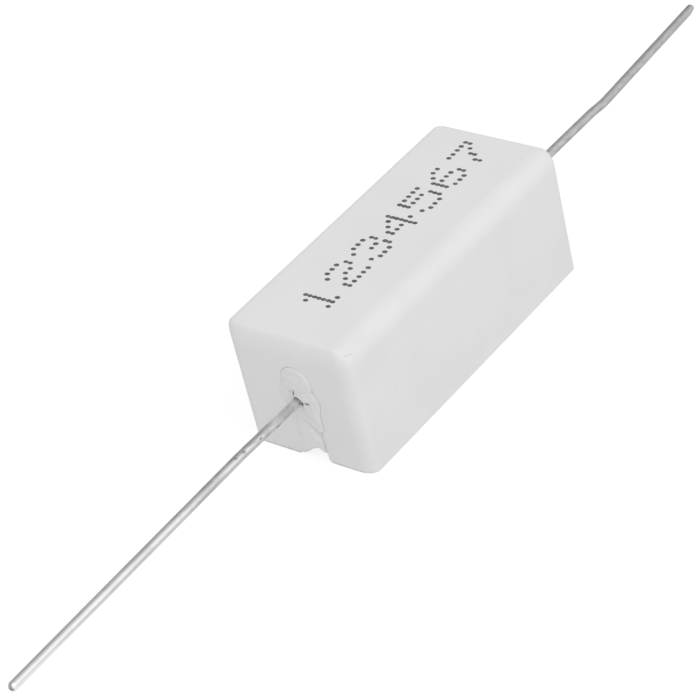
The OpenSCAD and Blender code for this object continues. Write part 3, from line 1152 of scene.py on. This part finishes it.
def white_case_ceramic():
    material, tree, shader = new_material("white_case_ceramic", 0.48)
    clouds = use_group(tree, mottle, Size=4.0, Low=0.35, High=0.7)["Mask"]
    specks = use_group(tree, mottle, Size=0.16, Low=0.74, High=0.8)["Mask"]
    surface = use_group(tree, grain, Size=0.09, Roughness=0.65)
    body = blend_colours(tree, clouds, grey(0.80), grey(0.775))
    body = blend_colours(tree, specks, body, grey(0.62))
    body = blend_colours(tree, math_node(tree, "MULTIPLY", surface["Pits"], 0.35), body, grey(0.6))
    body = add_dark_spots(tree, body, [FOOT_CONTACT_SHADE])
    dress(tree, shader, body, clouds, (0.52, 0.62), surface, 0.006)
    return material


coat(case.data, white_case_ceramic())

# %% [markdown]
# The cement is a paste of sand and silicone that dried dull. It is a shade darker than the case, with
# dark sand grains. Painted shade darkens the voids beside each lead, nearly black in the gap round it.

# %% Cast cement
# Painted shade in the voids and crevices beside the lead: a centre, a reach and a grey level for each.
CEMENT_VOID_SHADE = [
    ((0.25, -11.4, 4.2), (0.15, 0.5, 0.22), 0.03),
    ((0.66, -11.4, 4.38), (0.27, 0.5, 0.13), 0.24),
    ((-0.18, -11.4, 4.93), (0.09, 0.5, 0.3), 0.28),
    ((-0.44, -11.4, 5.04), (0.11, 0.5, 0.1), 0.45),
    ((0.08, -11.4, 4.68), (0.24, 0.5, 0.1), 0.3),
]


def cast_cement():
    material, tree, shader = new_material("cast_cement", 0.85)
    clouds = use_group(tree, mottle, Size=0.9, Low=0.3, High=0.7)["Mask"]
    sand = use_group(tree, mottle, Size=0.12, Low=0.58, High=0.68)["Mask"]
    surface = use_group(tree, grain, Size=0.11, Roughness=0.7)
    body = blend_colours(tree, clouds, grey(0.80), grey(0.755))
    body = blend_colours(tree, math_node(tree, "MULTIPLY", sand, 0.5), body, grey(0.66))
    body = blend_colours(tree, math_node(tree, "MULTIPLY", surface["Pits"], 0.5), body, grey(0.5))
    body = add_dark_spots(tree, body, CEMENT_VOID_SHADE)
    dress(tree, shader, body, clouds, (0.8, 0.92), surface, 0.02)
    return material


coat(cement.data, cast_cement())

# %% [markdown]
# Both leads are tinned copper, but the near one is still bright and the far one has gone dull.
# The bright tin is greyer near the case, where it was warm and dirty, and has a few dark flecks there.
# Its round tip carries a painted dark reflection. The dull tin has a rough, grey skin all over and shines
# less like bare metal.
# One function makes both, from the share of metal, the grey levels at the tip and at the case, and the
# roughness where the tin is clean and where it is dirty.

# %% Tinned leads
LEAD_FLECKS_AND_TIP_REFLECTION = [
    ((0.2, -13.6, 4.3), (0.3, 0.42, 0.14), 0.2),
    ((0.15, -15.2, 4.62), (0.3, 0.3, 0.08), 0.3),
    ((0.17, -16.7, 4.72), (0.22, 0.24, 0.12), 0.42),
    ((0.17, -17.4, 4.76), (0.22, 0.18, 0.1), 0.45),
    ((0.1, -11.5, 4.5), (0.5, 0.25, 0.5), 0.5),
    # A painted dark reflection on the round tip of the near lead.
    ((0.06, -37.48, 4.16), (0.46, 0.27, 0.34), 0.3),
]


def tinned_wire(name, metal, levels, roughness, reach, skin_share, marks_and_reflection):
    tip_level, case_level = levels
    material, tree, shader = new_material(name, roughness[0], metal)
    dirty = use_group(tree, near_case, From=11.0, To=reach)["Mask"]
    blotches = use_group(tree, mottle, Size=0.5, Low=0.42, High=0.62, Stretch=2.2)["Mask"]
    skin = use_group(tree, mottle, Size=0.22, Low=0.3, High=0.75, Stretch=3.0)["Mask"]
    surface = use_group(tree, grain, Size=0.12, Roughness=0.6)
    body = blend_colours(tree, dirty, grey(tip_level), grey(case_level))
    mottled = math_node(tree, "MULTIPLY", math_node(tree, "ADD", dirty, 0.15), blotches)
    body = blend_colours(tree, mottled, body, grey(0.82 * case_level))
    body = blend_colours(tree, math_node(tree, "MULTIPLY", skin, skin_share), body, grey(0.5 * case_level))
    body = add_dark_spots(tree, body, marks_and_reflection)
    dirty_blotches = math_node(tree, "MULTIPLY", dirty, blotches)
    dress(tree, shader, body, dirty_blotches, roughness, surface, 0.003)
    return material


coat(near_lead.data, tinned_wire("bright_tin", 1.0, (1.0, 0.8), (0.1, 0.28), 32.0, 0.1, LEAD_FLECKS_AND_TIP_REFLECTION))
coat(far_lead.data, tinned_wire("dull_tin", 0.85, (0.53, 0.68), (0.42, 0.56), 36.0, 0.45, []))

# %% [markdown]
# The ink is a matt, dark grey. It is thinner at some dots than at others, so the pale ceramic
# lightens it there.

# %% Marking ink
def marking_ink():
    material, tree, shader = new_material("marking_ink", 0.7)
    thin = use_group(tree, mottle, Size=0.35, Low=0.35, High=0.75)["Mask"]
    surface = use_group(tree, grain, Size=0.05, Roughness=0.6)
    body = blend_colours(tree, thin, grey(0.1), grey(0.17))
    dress(tree, shader, body, thin, (0.62, 0.78), surface, 0.004)
    return material


coat(marking.data, marking_ink())

# %% [markdown]
# The element inside the cement keeps the shapes of the solid model. It still gets real finishes, for
# whoever cuts the model open: a cream ceramic rod, oxidised resistance wire and pressed steel caps.

# %% Finishes of the element
STEEL = [(0.62, 0.63, 0.64, 1), (0.5, 0.5, 0.49, 1)]
ALLOY = [(0.5, 0.48, 0.45, 1), (0.34, 0.31, 0.28, 1)]


def cream_core_ceramic():
    material, tree, shader = new_material("cream_core_ceramic", 0.75)
    clouds = use_group(tree, mottle, Size=1.6, Low=0.3, High=0.7)["Mask"]
    surface = use_group(tree, grain, Size=0.1, Roughness=0.7)
    body = blend_colours(tree, clouds, (0.8, 0.76, 0.66, 1), (0.72, 0.67, 0.56, 1))
    body = blend_colours(tree, surface["Pits"], body, (0.5, 0.46, 0.38, 1))
    dress(tree, shader, body, clouds, (0.7, 0.85), surface, 0.015)
    return material


def worked_metal(name, colours, size, stretch, roughness):
    material, tree, shader = new_material(name, roughness[0], 1.0)
    drawn = use_group(tree, mottle, Size=size, Low=0.35, High=0.7, Stretch=stretch)["Mask"]
    surface = use_group(tree, grain, Size=0.06, Roughness=0.6)
    body = blend_colours(tree, drawn, *colours)
    dress(tree, shader, body, drawn, roughness, surface, 0.004)
    return material


pressed_steel = worked_metal("pressed_cap_steel", STEEL, 0.5, 6.0, (0.3, 0.45))
oxidised_alloy = worked_metal("resistance_alloy", ALLOY, 0.3, 0.3, (0.35, 0.55))
INSIDE = [("core_rod", cream_core_ceramic()), ("resistance_winding", oxidised_alloy),
          ("end_cap_near", pressed_steel), ("end_cap_far", pressed_steel)]
for node, material in INSIDE:
    coat(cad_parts[node].data, material)

# %% [markdown]
# The stage is a broad, pale sheet with the resistor lying on it. To the camera the sheet is lifted to
# white with an emission, and the rest of its look is the plain lit sheet, so that the soft shadow of
# the resistor stays. In the metal's mirror the sheet is a painted grey emission, a painted reflection
# that gives a round wire its grey lower side. That grey is a painted shadow, deepest beside the case
# and lighter out at the near tip, where nothing shades the sheet.

# %% Floor
FLOOR_HALF = 1.5
FLOOR_GAP = 0.01
SHEET_GREY = 0.85
SHEET_LIFT = 1.1
LIT_SHARE_SEEN = 0.25
LIT_SHARE_MIRRORED = 0.3
SHADED_LEVEL = 0.57
OPEN_LEVEL = 0.87


def ray_masks(tree):
    """Masks for the rays by which the camera sees a surface and for those by which a surface mirrors it."""
    ray = add(tree, "ShaderNodeLightPath").outputs
    by_eye = math_node(tree, "MAXIMUM", ray["Is Camera Ray"], ray["Is Transmission Ray"])
    return by_eye, ray["Is Glossy Ray"]


def white_sheet():
    material, tree, shader = new_material("white_sheet", 0.9)
    shader.inputs["Base Color"].default_value = grey(SHEET_GREY)
    shader.inputs["Specular IOR Level"].default_value = 0
    by_eye, by_metal = ray_masks(tree)
    # Painted shadow on the mirrored sheet: darkest beside the case.
    beside_part = use_group(tree, near_case, From=27.0, To=33.0)["Mask"]
    level = blend_colours(tree, beside_part, grey(OPEN_LEVEL), grey(SHADED_LEVEL))
    mirrored = add(tree, "ShaderNodeEmission", {"Color": level}).outputs[0]
    seen = add(tree, "ShaderNodeEmission", {"Strength": SHEET_LIFT}).outputs[0]
    mirrored_share = math_node(tree, "MULTIPLY", by_metal, 1 - LIT_SHARE_MIRRORED)
    seen_share = math_node(tree, "MULTIPLY", by_eye, 1 - LIT_SHARE_SEEN)
    look = mix_shaders(tree, mirrored_share, shader.outputs[0], mirrored)
    look = mix_shaders(tree, seen_share, look, seen)
    feed(tree, look, tree.nodes["Material Output"].inputs["Surface"])
    return material


form = bmesh.new()
bmesh.ops.create_grid(form, x_segments=8, y_segments=8, size=FLOOR_HALF)
floor = new_piece("white_sheet", form)
floor.location.z = -FLOOR_GAP * MM
coat(floor.data, white_sheet())
print("floor", 2 * FLOOR_HALF, "m square")

# %% [markdown]
# The light is one broad lamp in a pale room. The room is the world: it lights everything softly, and
# the camera sees it white. The metal mirrors a room that is white on the right and greyer towards the
# left, which shades a round wire from its light side to its grey edge. The world is left out of the
# lamps that are sampled directly, because such samples can't tell a mirror from a matt surface.

# %% World
ROOM_LIGHT = 0.925
DIM_LEVEL = 0.44
GLOW_LEVEL = 1.25
GLOW_FOCUS = 2
GLOW_TOP = 1.2
GLOW_TOWARDS = Vector((1.0, 0.0, 0.0))

world = bpy.data.worlds.new("pale_room")
bpy.context.scene.world = world
world.use_nodes = True
world.cycles.sampling_method = "NONE"
tree = world.node_tree
tree.nodes.clear()
direction = add(tree, "ShaderNodeTexCoord").outputs["Generated"]
towards_glow = vector_node(tree, "DOT_PRODUCT", direction, GLOW_TOWARDS)["Value"]
share = math_node(tree, "MULTIPLY", math_node(tree, "ADD", towards_glow, 1.0), 0.5)
glow = math_node(tree, "MULTIPLY", math_node(tree, "POWER", share, GLOW_FOCUS), GLOW_LEVEL)
room_level = math_node(tree, "MINIMUM", math_node(tree, "ADD", glow, DIM_LEVEL), GLOW_TOP)
lighting, mirrored, seen_white = [add(tree, "ShaderNodeBackground", {"Strength": level}).outputs[0]
                                  for level in (ROOM_LIGHT, room_level, 1.0)]
by_eye, by_metal = ray_masks(tree)
look = mix_shaders(tree, by_eye, mix_shaders(tree, by_metal, lighting, mirrored), seen_white)
add(tree, "ShaderNodeOutputWorld", {"Surface": look})
print("world", world.name)

# %% [markdown]
# The lamp hangs high to the right of the camera, so the marked face is the lightest, the side that
# faces us comes next and the end is the darkest. Its size makes the shadows as soft as in the photo.

# %% Key lamp
KEY_TOWARDS = Vector((0.56, -0.22, 0.82)).normalized()
KEY_DISTANCE = 0.5
KEY_SIZE = 0.4
KEY_WATTS = 0.77

lamp_data = bpy.data.lights.new("key_lamp", "AREA")
lamp_data.shape = "SQUARE"
lamp_data.size = KEY_SIZE
lamp_data.energy = KEY_WATTS
key_lamp = bpy.data.objects.new("key_lamp", lamp_data)
bpy.context.scene.collection.objects.link(key_lamp)
lamp_aim = KEY_TOWARDS.to_track_quat("Z", "Y").to_matrix().to_4x4()
key_lamp.matrix_world = Matrix.Translation(KEY_TOWARDS * KEY_DISTANCE) @ lamp_aim
print("key lamp", KEY_WATTS, "W")

# %% [markdown]
# Last, the colour management stays plain.

# %% Closing
bpy.context.scene.view_settings.view_transform = "Standard"
